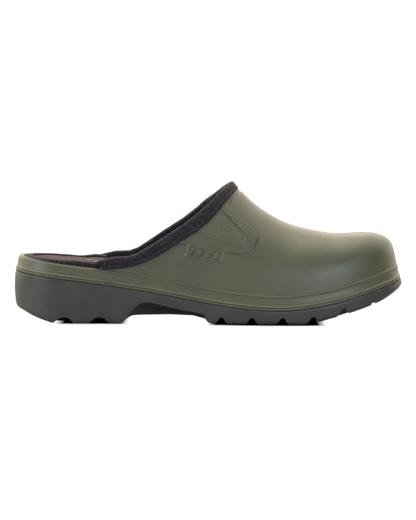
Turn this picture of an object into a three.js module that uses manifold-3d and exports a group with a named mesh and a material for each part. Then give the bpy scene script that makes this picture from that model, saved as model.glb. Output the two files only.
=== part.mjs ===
// A rubber garden clog for the right foot, standing on its sole: a moulded shell with a welt band and a low
// heel rim, a tread sole, a textile sock lining with a bound collar, and a loose footbed with a bound heel.
// Millimetres. +X points to the toe, +Y to the inner side of the foot and +Z up.
// The origin is the centre of the footprint, on the ground.

import * as THREE from "three";
import { mergeVertices } from "three/addons/utils/BufferGeometryUtils.js";
import Module from "manifold-3d";

const wasm = await Module();
wasm.setup();

// ---- Driving sizes -------------------------------------------------------------------------------------

const clogLength = 290;
const outerBallHalf = 53; // half widths, from the centre line to the welt
const innerBallHalf = 52.5;
const outerWaistHalf = 38;
const innerWaistHalf = 34;
const heelHalf = 36.5;
const toeSwing = 5; // the toe turns this far to the inner side

const bandHeight = 11.2; // the welt band, from the sole joint to its upper ridge
const beadHeight = 3; // the bead along the band's lower edge
const beadStep = 0.8;
const bandStep = 3; // from the bead's outside to the foot of the vamp
const bandTopInset = 2.4;
const shellWall = 2.6;

const soleFlare = 0.6; // the sole stands this far outside the bead
const soleEdge = 1.6; // chamfer round the tread
const treadDepth = 4.2;
const grooveWidth = 7.5;
const grooveRoof = 3.5; // the flat at the top of a tread groove
const groovePitch = 22.6;
const lugLength = 26; // how far a groove runs in from the side of the sole
const channelWidth = 4; // the channels along the tread, between the side lugs and the middle ones
const channelFromMiddle = 24;
const heelGrooveWidth = 15;
const heelGrooveRoof = 9;
const waistWebHalf = 20;
const waistWebHeight = 5; // ground to the underside of the waist's web

const seatGap = 0.3; // clearance between pieces that touch
const liningThickness = 1.2;
const boardThickness = 1.2;
const foamThickness = 4.5;
const coverThickness = 1;
const tapeThickness = 0.8;
const tapeLegWidth = 4.5; // the part of the footbed's tape that lies on the cover
const threadWidth = 0.6;
const seamFromEdge = 2.6; // the collar's seam, up from the tape's lower edge
const footbedSeam = 2.8; // the footbed tape's seam, in from the footbed's edge
const boardClearance = 0.7; // between the board's edge and the lining
const footbedClearance = 0.7; // between the footbed's edge and what stands round it

const heelCapLength = 38; // where the plan outline starts to round off, from each end
const toeCapLength = 90;
const heelCapPower = 2.2;
const toeCapPower = 2.5;
const heelHub = 36; // the sections fan out round these two places along the length
const toeHub = clogLength - 50;

const heelSteps = 6;
const sideSteps = 19;
const toeSteps = 9;
const archSteps = 10;
const floorRows = [0.6];

// ---- Curves along the length ---------------------------------------------------------------------------

// A smooth curve through [share of the length, value] pairs, as a function of x from the heel.
function along(pairs) {
  const slopes = pairs.map((_, i) => {
    const before = pairs[Math.max(i - 1, 0)];
    const after = pairs[Math.min(i + 1, pairs.length - 1)];
    return (after[1] - before[1]) / (after[0] - before[0]);
  });
  return (x) => {
    const share = THREE.MathUtils.clamp(x / clogLength, pairs[0][0], pairs.at(-1)[0]);
    const next = pairs.findIndex((pair) => pair[0] >= share) || 1;
    const [s0, v0] = pairs[next - 1];
    const [s1, v1] = pairs[next];
    const span = s1 - s0;
    const t = (share - s0) / span;
    const rise = t * t * (3 - 2 * t);
    const bend = t * (1 - t) * span;
    return v0 + (v1 - v0) * rise + bend * (slopes[next - 1] * (1 - t) - slopes[next] * t);
  };
}

const jointHeight = along([
  [0, 38], [0.107, 33.6], [0.214, 29.5], [0.36, 23.2], [0.5, 15.8], [0.583, 12.5],
  [0.66, 10.9], [0.724, 11.5], [0.814, 15.5], [0.89, 21.3], [1, 31],
]);
const floorHeight = along([
  [0, 41.2], [0.107, 39.1], [0.214, 36.4], [0.31, 31.2], [0.414, 25], [0.517, 18.9], [0.62, 15],
  [0.707, 14.1], [0.793, 17], [0.88, 23.2], [1, 34.5],
]);
const toeSpring = along([
  [0, 11], [0.02, 9.6], [0.045, 6.8], [0.075, 3.6], [0.107, 0], [0.14, 0], [0.74, 0], [0.77, 1], [0.81, 4],
  [0.86, 7.6], [0.9, 10.8], [0.95, 15.8], [1, 23.5],
]);
const groundClearance = (x) => Math.max(0, toeSpring(x));
const vampTop = along([
  [0.1, 184], [0.2, 178], [0.345, 148], [0.45, 126], [0.52, 111.4], [0.559, 102.6], [0.586, 96.4], [0.617, 88],
  [0.648, 81.4], [0.679, 76], [0.71, 71.9], [0.741, 69.2], [0.79, 66.2], [0.828, 65], [1, 65],
]);
const archPower = along([[0, 2], [0.56, 2.05], [0.69, 2.5], [0.828, 3.1], [1, 3.1]]);
const toePower = 5.5; // squareness of the section at the very tip
const archLean = along([[0.2, 0], [0.35, 0.06], [0.45, 0.12], [0.56, 0.12], [0.69, 0.07], [0.83, 0.05], [1, 0.05]]);
const outerHalf = along([
  [0, heelHalf], [0.14, heelHalf], [0.3, outerWaistHalf], [0.45, 0.65 * outerWaistHalf + 0.35 * outerBallHalf],
  [0.59, 0.15 * outerWaistHalf + 0.85 * outerBallHalf], [0.71, outerBallHalf], [0.83, outerBallHalf],
  [1, outerBallHalf],
]);
const innerHalf = along([
  [0, heelHalf], [0.14, heelHalf - 0.4], [0.3, innerWaistHalf], [0.43, 0.95 * innerWaistHalf + 0.05 * innerBallHalf],
  [0.57, 0.55 * innerWaistHalf + 0.45 * innerBallHalf], [0.69, 0.15 * innerWaistHalf + 0.85 * innerBallHalf],
  [0.81, innerBallHalf], [1, innerBallHalf],
]);

// The collar's edge, from the end of the vamp's side up to its peak, as [share of the length, height].
const collarEdge = [
  [0.228, 44], [0.236, 46.6], [0.255, 47.9], [0.293, 48.3], [0.317, 50.6], [0.342, 54.6], [0.367, 58.7],
  [0.404, 65.2], [0.441, 72.2], [0.479, 81], [0.516, 91.3], [0.54, 98.4], [0.559, 102.6],
];
// The lower edge of the tape that is folded over the collar.
const tapeEdge = [
  [0.23, 40.8], [0.256, 40.9], [0.293, 42.3], [0.317, 44.1], [0.342, 47], [0.379, 52.6], [0.404, 57.4],
  [0.429, 61.9], [0.466, 68.5], [0.491, 74.2], [0.516, 81.4], [0.54, 89.6], [0.56, 95.6], [0.575, 99.4],
];

// ---- The plan outline and its stations -----------------------------------------------------------------

// How far an end of the outline has closed in: 1 along the side, 0 at the tip.
function endCap(fromTip, capLength, power) {
  const closed = THREE.MathUtils.clamp(1 - fromTip / capLength, 0, 1);
  return Math.pow(1 - Math.pow(closed, power), 1 / power);
}

function centreLine(x) {
  return toeSwing * Math.pow(Math.max(0, 1 - (clogLength - x) / toeCapLength), 2);
}

function outlinePoint(x, side) {
  const half = side < 0 ? outerHalf(x) : innerHalf(x);
  const closing = endCap(x, heelCapLength, heelCapPower) * endCap(clogLength - x, toeCapLength, toeCapPower);
  return new THREE.Vector2(x, centreLine(x) + side * half * closing);
}

// A station is a place on the outline with the hub that its section runs in to.
function station(x, side) {
  const edge = outlinePoint(x, side);
  const hubX = THREE.MathUtils.clamp(x, heelHub, toeHub);
  const hub = new THREE.Vector2(hubX, centreLine(hubX));
  const outward = edge.clone().sub(hub);
  const reach = outward.length();
  outward.divideScalar(reach);
  const towardToe = x > toeHub ? Math.pow(outward.x, 2) : 0;
  return { x, hub, outward, reach, power: archPower(x) + (toePower - archPower(x)) * towardToe };
}

function stationsOf(side) {
  const list = [];
  for (let i = 0; i < heelSteps; i++) {
    list.push(station(heelHub * (1 - Math.cos((i / heelSteps) * Math.PI / 2)), side));
  }
  for (let i = 0; i < sideSteps; i++) {
    list.push(station(heelHub + ((toeHub - heelHub) * i) / sideSteps, side));
  }
  for (let i = 0; i <= toeSteps; i++) {
    list.push(station(toeHub + (clogLength - toeHub) * Math.sin((i / toeSteps) * Math.PI / 2), side));
  }
  return list;
}

// Round the outline: heel, outer side, toe, inner side.
const stations = [...stationsOf(-1), ...stationsOf(1).slice(1, -1).reverse()];

// ---- Solids ---------------------------------------------------------------------------------------------

function solid(geometry) {
  const bare = new THREE.BufferGeometry().setAttribute("position", geometry.getAttribute("position"));
  if (geometry.index) bare.setIndex(geometry.index);
  const merged = mergeVertices(bare, 1e-4);
  const corners = merged.index.array;
  const kept = [];
  for (let i = 0; i < corners.length; i += 3) {
    const [a, b, c] = corners.subarray(i, i + 3);
    if (a !== b && b !== c && c !== a) kept.push(a, b, c);
  }
  return new wasm.Manifold(
    new wasm.Mesh({
      numProp: 3,
      vertProperties: merged.getAttribute("position").array,
      triVerts: new Uint32Array(kept),
    }),
  );
}

// Joins one column of points for each station into a closed body. A column runs from the hub underneath,
// out and up the side, to the hub on top.
function loft(columns) {
  const rows = columns[0].length;
  const geometry = new THREE.BufferGeometry().setFromPoints(columns.flat());
  const index = [];
  columns.forEach((_, i) => {
    const next = (i + 1) % columns.length;
    for (let j = 0; j < rows - 1; j++) {
      const a = i * rows + j;
      const b = next * rows + j;
      index.push(a, b, b + 1, a, b + 1, a + 1);
    }
  });
  return solid(geometry.setIndex(index));
}

// The point of a station's section at this distance in from the outline.
function inward(st, inset, height) {
  const r = st.reach - inset;
  const x = st.hub.x + st.outward.x * r;
  const y = st.hub.y + st.outward.y * r;
  return new THREE.Vector3(x, y, typeof height === "function" ? height(x) : height);
}

// A surface that is level from side to side, from the hub out to this inset.
function levelRow(st, inset, height) {
  const row = [0, ...floorRows, 1].map((share) => inward(st, st.reach - share * (st.reach - inset), height));
  row[0].z = height(st.hub.x);
  return row;
}

// A plate between two heights, with its edge at this inset.
function plate(inset, low, high) {
  return loft(stations.map((st) => {
    const depth = typeof inset === "function" ? inset(st.x) : inset;
    return [...levelRow(st, depth, low), ...levelRow(st, depth, high).reverse()];
  }));
}

function bandTop(x) {
  return jointHeight(x) + bandHeight;
}

// One station's arch, from the top of the band over to the hub, in even steps.
function archColumn(st) {
  const foot = bandTop(st.x);
  const rise = vampTop(st.hub.x) - foot;
  const reach = st.reach - bandStep;
  const lean = archLean(st.x);
  const fine = new THREE.Path();
  const samples = 90;
  for (let k = 0; k <= samples; k++) {
    const turn = (k / samples) * (Math.PI / 2);
    const up = Math.pow(Math.sin(turn), 2 / st.power);
    const out = k === samples ? 0 : Math.pow(Math.cos(turn), 2 / st.power);
    const point = new THREE.Vector2(reach * out * (1 - lean * up), foot + rise * up);
    if (k === 0) fine.moveTo(point.x, point.y);
    else fine.lineTo(point.x, point.y);
  }
  return fine.getSpacedPoints(archSteps).map((p) => inward(st, st.reach - p.x, p.y));
}

const archColumns = stations.map(archColumn);

// Outward directions at the points of the arches.
const archNormals = archColumns.map((column, i) => {
  const count = archColumns.length;
  const before = archColumns[(i + count - 1) % count];
  const after = archColumns[(i + 1) % count];
  return column.map((point, j) => {
    if (j === column.length - 1) {
      const x = stations[i].hub.x;
      const slope = x >= toeHub ? 0 : (vampTop(x + 1) - vampTop(x - 1)) / 2;
      return new THREE.Vector3(-slope, 0, 1).normalize();
    }
    const round = after[j].clone().sub(before[j]);
    const up = column[j + 1].clone().sub(column[Math.max(j - 1, 0)]);
    return round.cross(up).normalize();
  });
});

// The body under the arches, shrunk by this inset, standing on a level surface at the low height.
function archBody(inset, low) {
  return loft(archColumns.map((column, i) => {
    const skin = column.map((point, j) => point.clone().addScaledVector(archNormals[i][j], -inset));
    const foot = skin[0].clone();
    foot.z = low(foot.x);
    const floor = levelRow(stations[i], bandStep + inset, low);
    floor[floor.length - 1] = foot;
    return [...floor, ...skin];
  }));
}

// A prism with this outline in side view, as [x, z] points, between two places across the clog.
function sidePrism(points, from = -150, to = 150) {
  const shape = new THREE.Shape(points.map(([x, z]) => new THREE.Vector2(x, z)));
  const geometry = new THREE.ExtrudeGeometry(shape, { depth: to - from, bevelEnabled: false });
  return solid(geometry.rotateX(Math.PI / 2).translate(0, to, 0));
}

function onLength(pairs) {
  return pairs.map(([share, height]) => [share * clogLength, height]);
}

// A side-view line moved to its upper left by this distance.
function shifted(points, distance) {
  return points.map(([x, z], i) => {
    const before = points[Math.max(i - 1, 0)];
    const after = points[Math.min(i + 1, points.length - 1)];
    const along = new THREE.Vector2(after[0] - before[0], after[1] - before[1]).normalize();
    return [x - along.y * distance, z + along.x * distance];
  });
}

const collarLine = onLength(collarEdge);
const vampBack = collarLine[0][0]; // the back end of the vamp's sides
const highAbove = 260;

// Everything in front of and below a collar line.
function underCollar(line, back) {
  const peak = line.at(-1);
  return sidePrism([
    [back, -20],
    [back, line[0][1]],
    ...line,
    [peak[0] + 30, highAbove],
    [clogLength + 40, highAbove],
    [clogLength + 40, -20],
  ]);
}

// ---- The sole -------------------------------------------------------------------------------------------

function soleBlank() {
  return loft(stations.map((st) => {
    const top = (x) => jointHeight(x) - seatGap;
    const edge = inward(st, 0, 0);
    const low = groundClearance(edge.x);
    const side = [
      inward(st, soleEdge, low),
      inward(st, -soleFlare * 0.4, low + soleEdge),
      inward(st, -soleFlare, low + 0.45 * (top(edge.x) - low)),
      inward(st, -soleFlare, top(edge.x) - soleEdge),
      inward(st, 0, top(edge.x)),
    ];
    return [...levelRow(st, 2 * soleEdge, groundClearance), ...side, ...levelRow(st, 2 * soleEdge, top).reverse()];
  }));
}

// A groove across the tread at x, between two places across the sole.
function groove(x, width, roof, from, to) {
  const ground = groundClearance(x);
  const slope = (groundClearance(x + width / 2) - groundClearance(x - width / 2)) / width;
  const profile = [
    [-width, -2 * treadDepth],
    [width, -2 * treadDepth],
    [width / 2, 0],
    [roof / 2 + 0.6, 0.8 * treadDepth],
    [roof / 2 - 0.4, treadDepth],
    [-roof / 2 + 0.4, treadDepth],
    [-roof / 2 - 0.6, 0.8 * treadDepth],
    [-width / 2, 0],
  ].map(([dx, dz]) => [x + dx, ground + dz + slope * dx]);
  return sidePrism(profile, from, to);
}

// A groove at x that is open at one side of the sole.
function sideGroove(x, width, roof, side, run) {
  const edge = outlinePoint(x, side).y;
  const ends = [edge - side * run, edge + side * 10].sort((a, b) => a - b);
  return groove(x, width, roof, ...ends);
}

// A channel along the forefoot's tread, which follows its curve.
function channel(from, to, middle) {
  const steps = 8;
  const roof = Array.from({ length: steps + 1 }, (_, i) => {
    const x = from + ((to - from) * i) / steps;
    return [x, groundClearance(x) + 0.8 * treadDepth];
  });
  const profile = [[from, -2 * treadDepth], ...roof, [to, -2 * treadDepth]];
  return sidePrism(profile, middle - channelWidth / 2, middle + channelWidth / 2);
}

// The gap between the tread and the heel: the side skirts are cut higher than the web between them.
function waistCuts() {
  const skirt = onLength([
    [0.275, -9], [0.275, 0], [0.287, 3.5], [0.296, 7.6], [0.308, 11.5], [0.321, 14.6], [0.335, 16], [0.35, 16],
    [0.381, 14], [0.427, 11], [0.474, 8.6], [0.488, 7.6], [0.492, 4], [0.502, 1.2], [0.52, 0], [0.52, -9],
  ]);
  const web = onLength([
    [0.28, -9], [0.28, 0], [0.292, 3.2], [0.31, waistWebHeight], [0.4, waistWebHeight + 0.4],
    [0.46, waistWebHeight - 0.4], [0.485, 2.6], [0.505, 0], [0.505, -9],
  ]);
  return [
    sidePrism(skirt, -150, -waistWebHalf),
    sidePrism(skirt, waistWebHalf, 150),
    sidePrism(web),
  ];
}

function outsole() {
  const cuts = waistCuts();
  const grooves = 6;
  const firstGroove = 0.533 * clogLength;
  const lastGroove = firstGroove + (grooves - 1) * groovePitch;
  const heelGrooves = [0.128 * clogLength, 0.219 * clogLength];
  for (const side of [-1, 1]) {
    for (let i = 0; i < grooves; i++) {
      cuts.push(sideGroove(firstGroove + i * groovePitch, grooveWidth, grooveRoof, side, lugLength));
    }
    for (const x of heelGrooves) {
      cuts.push(sideGroove(x, heelGrooveWidth, heelGrooveRoof, side, lugLength - 4));
    }
    cuts.push(channel(firstGroove, lastGroove - groovePitch, side * channelFromMiddle));
  }
  for (let i = 0; i < grooves - 2; i++) {
    const x = firstGroove + (i + 0.5) * groovePitch;
    cuts.push(groove(x, grooveWidth, grooveRoof, -channelFromMiddle, channelFromMiddle));
  }
  return cuts.reduce((body, cut) => body.subtract(cut), soleBlank());
}

// ---- The shell ------------------------------------------------------------------------------------------

function weltBand() {
  return loft(stations.map((st) => {
    const joint = jointHeight(st.x);
    const side = [
      [0.6, 0],
      [0, 0.6],
      [0, beadHeight - 0.7],
      [beadStep, beadHeight],
      [bandTopInset - 0.5, bandHeight - 0.6],
      [bandTopInset, bandHeight],
    ].map(([inset, up]) => inward(st, inset, joint + up));
    return [...levelRow(st, 4 * beadStep, jointHeight), ...side, ...levelRow(st, 2 * bandTopInset, bandTop).reverse()];
  }));
}

function upperShell() {
  const vamp = archBody(0, (x) => jointHeight(x) + beadHeight).intersect(underCollar(collarLine, vampBack));
  return weltBand().add(vamp).subtract(archBody(shellWall, floorHeight));
}

// ---- The sock: lining, board and bound collar -------------------------------------------------------------

const liningOuter = shellWall + seatGap;
const liningInner = liningOuter + liningThickness;
const boardBottom = (x) => floorHeight(x) + seatGap;
const boardTop = (x) => boardBottom(x) + boardThickness;

function vampLining() {
  const inside = archBody(liningInner, (x) => floorHeight(x) - 2);
  return archBody(liningOuter, boardBottom).intersect(underCollar(collarLine, vampBack)).subtract(inside);
}

function insoleBoard() {
  return plate(bandStep + liningInner + boardClearance, boardBottom, boardTop);
}

const tapeLine = onLength(tapeEdge).map(([x, z]) => [x, Math.max(z, bandTop(x) + seatGap)]);
const tapeBack = [tapeLine[0][0] - 6, tapeLine[0][1] + 5]; // the tape's slanting end
const tapeTop = [tapeBack, ...shifted(collarLine, seatGap + tapeThickness).slice(1)];

// A side-view line run on past its last point by this distance.
function extended(points, distance) {
  const [before, last] = points.slice(-2);
  const ahead = new THREE.Vector2(last[0] - before[0], last[1] - before[1]).setLength(distance);
  return [...points, [last[0] + ahead.x, last[1] + ahead.y]];
}

// The ring of space between two offsets of the arches, in side view between two lines that run up to the peak.
function collarRing(outer, inner, lowerLine, upperLine) {
  const region = sidePrism([...extended(lowerLine, 12), ...extended(upperLine, 12).reverse()]);
  const low = (x) => bandTop(x) - 4;
  return archBody(outer, low).intersect(region).subtract(archBody(inner, (x) => low(x) - 4));
}

function collarBinding() {
  const inner = liningInner + seatGap;
  const folded = collarRing(-seatGap - tapeThickness, inner + tapeThickness, tapeLine, tapeTop);
  const seat = archBody(-seatGap, jointHeight).intersect(underCollar(shifted(collarLine, seatGap), vampBack - seatGap));
  return folded.subtract(seat.subtract(archBody(inner, (x) => jointHeight(x) - 4)));
}

function collarStitching() {
  const outside = -seatGap - tapeThickness - seatGap;
  const lower = shifted(tapeLine, seamFromEdge).slice(1);
  const upper = shifted(tapeLine, seamFromEdge + threadWidth).slice(1);
  return collarRing(outside - threadWidth, outside, lower, upper);
}

// ---- The footbed --------------------------------------------------------------------------------------------

const footbedBottom = (x) => boardTop(x) + seatGap;
const coverBottom = (x) => footbedBottom(x) + foamThickness + seatGap;
const coverTop = (x) => coverBottom(x) + coverThickness;
const tapeEnd = tapeBack[0] - 2; // the footbed's tape stops short of the collar's tape
const toTape = seatGap + tapeThickness;

// The footbed's edge stands in from the outline: by its tape at the heel, and by the sock further on.
const heelInset = bandStep + shellWall + footbedClearance + toTape;
const sockInset = bandStep + liningInner + seatGap + tapeThickness + footbedClearance;
const footbedInset = along([[0, heelInset], [0.1, heelInset], [0.2, sockInset], [1, sockInset]]);

function heelPart(limit) {
  return sidePrism([[-20, -20], [limit, -20], [limit, highAbove], [-20, highAbove]]);
}

function footbedFoam() {
  const rebate = plate((x) => footbedInset(x) - 5, (x) => footbedBottom(x) - 2, (x) => footbedBottom(x) + toTape)
    .subtract(plate((x) => footbedInset(x) + tapeLegWidth + seatGap, (x) => footbedBottom(x) - 3, coverTop))
    .intersect(heelPart(tapeEnd + seatGap));
  return plate(footbedInset, footbedBottom, (x) => footbedBottom(x) + foamThickness).subtract(rebate);
}

function footbedCover() {
  return plate(footbedInset, coverBottom, coverTop);
}

function footbedBinding() {
  const outside = plate((x) => footbedInset(x) - toTape, footbedBottom, (x) => coverTop(x) + toTape);
  const inside = plate(
    (x) => footbedInset(x) - seatGap,
    (x) => footbedBottom(x) + tapeThickness,
    (x) => coverTop(x) + seatGap,
  );
  const window = plate((x) => footbedInset(x) + tapeLegWidth, (x) => footbedBottom(x) - 3, (x) => coverTop(x) + 3);
  return outside.subtract(inside).subtract(window).intersect(heelPart(tapeEnd));
}

function footbedStitching() {
  const bottom = (x) => coverTop(x) + toTape + seatGap;
  const top = (x) => bottom(x) + threadWidth;
  const outside = plate((x) => footbedInset(x) + footbedSeam, bottom, top);
  const inside = plate(
    (x) => footbedInset(x) + footbedSeam + threadWidth,
    (x) => bottom(x) - threadWidth,
    (x) => top(x) + threadWidth,
  );
  return outside.subtract(inside).intersect(heelPart(tapeEnd - seatGap));
}

// ---- Assembly -----------------------------------------------------------------------------------------------

const pieces = [
  // name, body, colour, roughness
  ["outsole", outsole(), 0x3a3a3a, 0.6],
  ["upper_shell", upperShell(), 0x5f614e, 0.5],
  ["insole_board", insoleBoard(), 0x8a8478, 0.95],
  ["vamp_lining", vampLining(), 0x26242a, 0.95],
  ["collar_binding", collarBinding(), 0x302e35, 0.9],
  ["collar_stitching", collarStitching(), 0x1c1b20, 0.8],
  ["footbed_foam", footbedFoam(), 0x2b2a2c, 0.9],
  ["footbed_cover", footbedCover(), 0x6b5a56, 0.95],
  ["footbed_binding", footbedBinding(), 0x302e35, 0.9],
  ["footbed_stitching", footbedStitching(), 0x1c1b20, 0.8],
];

const clog = new THREE.Group();
clog.name = "garden_clog";
for (const [name, body, color, roughness] of pieces) {
  const { numProp, vertProperties, triVerts } = body.getMesh();
  const geometry = new THREE.BufferGeometry();
  geometry.setAttribute("position", new THREE.BufferAttribute(vertProperties, numProp));
  geometry.setIndex(new THREE.BufferAttribute(triVerts, 1));
  geometry.computeVertexNormals();
  const mesh = new THREE.Mesh(geometry, new THREE.MeshStandardMaterial({ color, roughness, metalness: 0 }));
  mesh.name = name;
  clog.add(mesh);
}

// The origin goes to the centre of the footprint.
const footprint = new THREE.Box3().setFromObject(clog);
clog.position.set(-(footprint.min.x + footprint.max.x) / 2, -(footprint.min.y + footprint.max.y) / 2, 0);

export default clog;
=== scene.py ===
import math
import random

import bpy
from mathutils import Matrix, Vector, noise


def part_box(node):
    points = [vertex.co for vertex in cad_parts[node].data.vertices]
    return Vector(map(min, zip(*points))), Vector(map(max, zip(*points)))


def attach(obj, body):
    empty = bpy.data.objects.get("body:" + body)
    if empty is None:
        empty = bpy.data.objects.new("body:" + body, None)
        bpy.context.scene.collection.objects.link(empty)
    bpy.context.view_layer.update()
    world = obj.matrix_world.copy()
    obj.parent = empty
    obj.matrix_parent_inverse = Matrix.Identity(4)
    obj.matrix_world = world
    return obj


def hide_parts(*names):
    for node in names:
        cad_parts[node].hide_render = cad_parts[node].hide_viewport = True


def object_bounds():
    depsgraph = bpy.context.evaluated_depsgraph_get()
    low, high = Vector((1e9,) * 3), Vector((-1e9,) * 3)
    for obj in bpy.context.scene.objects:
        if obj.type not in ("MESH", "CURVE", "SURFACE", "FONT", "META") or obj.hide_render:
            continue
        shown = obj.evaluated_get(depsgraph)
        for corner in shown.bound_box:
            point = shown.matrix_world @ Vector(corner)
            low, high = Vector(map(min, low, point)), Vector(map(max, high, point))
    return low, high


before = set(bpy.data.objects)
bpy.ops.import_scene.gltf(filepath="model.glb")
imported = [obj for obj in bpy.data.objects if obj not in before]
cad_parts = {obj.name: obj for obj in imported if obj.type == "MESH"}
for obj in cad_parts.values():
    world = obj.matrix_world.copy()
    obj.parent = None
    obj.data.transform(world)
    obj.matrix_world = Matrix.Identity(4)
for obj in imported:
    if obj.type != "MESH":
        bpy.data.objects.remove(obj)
CAD_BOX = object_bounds()

# A rubber garden clog for the right foot. Shapes are worked out in millimetres in the clog's own frame,
# with x from the back of the heel, y from the centre line to the inner side, and z up from the ground, and
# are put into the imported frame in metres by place().

# ---- Sizes, in millimetres -----------------------------------------------------------------------

SOLE_FLARE = 0.6
LENGTH = (CAD_BOX[1][0] - CAD_BOX[0][0]) * 1000 - 2 * SOLE_FLARE
OUTER_BALL, INNER_BALL = 53, 52.5
OUTER_WAIST, INNER_WAIST = 38, 34
HEEL_HALF = 36.5
TOE_SWING = 5
HEEL_CAP, HEEL_POWER = 38, 2.2
TOE_CAP, TOE_POWER = 90, 2.5
HEEL_HUB, TOE_HUB = 36, 240

BAND_HEIGHT = 11.2
BAND_STEP = 3
SHELL_WALL = 2.6
SEAT_GAP = 0.3
LINING = 1.2
BOARD = 1.2
FOAM = 4.5
COVER = 1
TAPE = 0.8
FOOTBED_CLEARANCE = 0.7
TREAD_DEPTH = 4.2
GROOVE_PITCH = 22.6
GROOVES = 6
LUG_LENGTH = 26
FIRST_GROOVE_AT = 0.533
HEEL_GROOVES_AT = (0.128, 0.219)
# Each groove's width at its mouth, its width at its roof, and its depth. The centre ones are as deep as
# the tread, TREAD_DEPTH.
FORE_GROOVE = (9.4, 4.4, 5.6)
LAST_GROOVE = (4.4, 2.6, 3.6)
HEEL_GROOVE = (15, 9, 4.6)
CENTRE_GROOVE = (7.5, 4.2)
FULL_GROOVES = 4
TOE_GROOVE_RUN, LAST_GROOVE_RUN = 13, 9
CHANNEL_FROM_MIDDLE, CHANNEL_WIDTH = 24, 4
# How much further the back of the heel stands out, from its foot to its top, in times SOLE_FLARE.
HEEL_BULGE = (0.8, 1.6, 1.8, 1.4, 0.6)

OUTER, INNER = -1, 1


def along(pairs):
    """A smooth curve through (share of the length, value) pairs, as a function of x from the heel."""
    slopes = []
    for i in range(len(pairs)):
        before, after = pairs[max(i - 1, 0)], pairs[min(i + 1, len(pairs) - 1)]
        slopes.append((after[1] - before[1]) / (after[0] - before[0]))

    def value(x):
        share = min(max(x / LENGTH, pairs[0][0]), pairs[-1][0])
        i = next((k for k in range(1, len(pairs)) if pairs[k][0] >= share), 1)
        (s0, v0), (s1, v1) = pairs[i - 1], pairs[i]
        span = s1 - s0
        t = (share - s0) / span
        bend = t * (1 - t) * span
        return v0 + (v1 - v0) * t * t * (3 - 2 * t) + bend * (slopes[i - 1] * (1 - t) - slopes[i] * t)

    return value


joint_height = along([
    (0, 38), (0.107, 33.6), (0.214, 29.5), (0.36, 23.2), (0.5, 15.8), (0.583, 12.5), (0.66, 10.9),
    (0.724, 11.5), (0.814, 15.5), (0.89, 21.3), (1, 31),
])
floor_height = along([
    (0, 41.2), (0.107, 39.1), (0.214, 36.4), (0.31, 31.2), (0.414, 25), (0.517, 18.9), (0.62, 15),
    (0.707, 14.1), (0.793, 17), (0.88, 23.2), (1, 34.5),
])
toe_spring = along([
    (0, 10.4), (0.02, 8.4), (0.045, 5.2), (0.075, 2.1), (0.104, 0), (0.14, 0), (0.74, 0), (0.77, 1), (0.81, 4),
    (0.86, 7.6), (0.9, 10.8), (0.95, 15.8), (1, 23.5),
])
vamp_top = along([
    (0.1, 184), (0.2, 178), (0.345, 148), (0.45, 126), (0.52, 111.4), (0.559, 102.6), (0.586, 96.4),
    (0.617, 88), (0.648, 81.4), (0.679, 76), (0.71, 71.9), (0.741, 69.2), (0.79, 66.2), (0.828, 65), (1, 65),
])
arch_power = along([(0, 2), (0.56, 2.05), (0.69, 2.5), (0.828, 3.1), (1, 3.1)])
TOE_TIP_POWER = 5.5
arch_lean = along([
    (0.2, 0), (0.35, 0.06), (0.45, 0.12), (0.56, 0.12), (0.69, 0.07), (0.83, 0.05), (0.94, 0.06), (1, 0.095),
])
outer_half = along([
    (0, HEEL_HALF), (0.14, HEEL_HALF), (0.3, OUTER_WAIST), (0.45, 0.65 * OUTER_WAIST + 0.35 * OUTER_BALL),
    (0.59, 0.15 * OUTER_WAIST + 0.85 * OUTER_BALL), (0.71, OUTER_BALL), (0.83, OUTER_BALL), (1, OUTER_BALL),
])
inner_half = along([
    (0, HEEL_HALF), (0.14, HEEL_HALF - 0.4), (0.3, INNER_WAIST), (0.43, 0.95 * INNER_WAIST + 0.05 * INNER_BALL),
    (0.57, 0.55 * INNER_WAIST + 0.45 * INNER_BALL), (0.69, 0.15 * INNER_WAIST + 0.85 * INNER_BALL),
    (0.81, INNER_BALL), (1, INNER_BALL),
])
COLLAR = [(share * LENGTH, z) for share, z in [
    (0.228, 44), (0.236, 46.6), (0.255, 47.9), (0.293, 48.3), (0.317, 50.6), (0.342, 54.6), (0.367, 58.7),
    (0.404, 65.2), (0.441, 72.2), (0.479, 81), (0.516, 91.3), (0.54, 98.4), (0.559, 102.6),
]]
TAPE_EDGE = [(share * LENGTH, z) for share, z in [
    (0.23, 40.8), (0.256, 40.9), (0.293, 42.3), (0.317, 44.1), (0.342, 47), (0.379, 52.6), (0.404, 57.4),
    (0.429, 61.9), (0.466, 68.5), (0.491, 74.2), (0.516, 81.4), (0.54, 89.6), (0.56, 95.6), (0.575, 99.4),
]]


def ground(x):
    return max(0, toe_spring(x))


def band_top(x):
    return joint_height(x) + BAND_HEIGHT


def centre_line(x):
    return TOE_SWING * max(0, 1 - (LENGTH - x) / TOE_CAP) ** 2


def end_cap(from_tip, cap, power):
    closed = min(max(1 - from_tip / cap, 0), 1)
    return (1 - closed ** power) ** (1 / power)


def outline(x, side):
    half = outer_half(x) if side == OUTER else inner_half(x)
    closing = end_cap(x, HEEL_CAP, HEEL_POWER) * end_cap(LENGTH - x, TOE_CAP, TOE_POWER)
    return Vector((x, centre_line(x) + side * half * closing))


# The clog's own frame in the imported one.
HEEL_AT = CAD_BOX[0][0] * 1000 + SOLE_FLARE
MIDDLE_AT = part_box("upper_shell")[0].y * 1000 - min(outline(x, OUTER).y for x in range(180, 280))


def place(p):
    return Vector(((p[0] + HEEL_AT) / 1000, (p[1] + MIDDLE_AT) / 1000, p[2] / 1000))


def mix(a, b, t):
    return a + (b - a) * t


def smooth(edge0, edge1, value):
    t = min(max((value - edge0) / (edge1 - edge0), 0), 1)
    return t * t * (3 - 2 * t)


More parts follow.
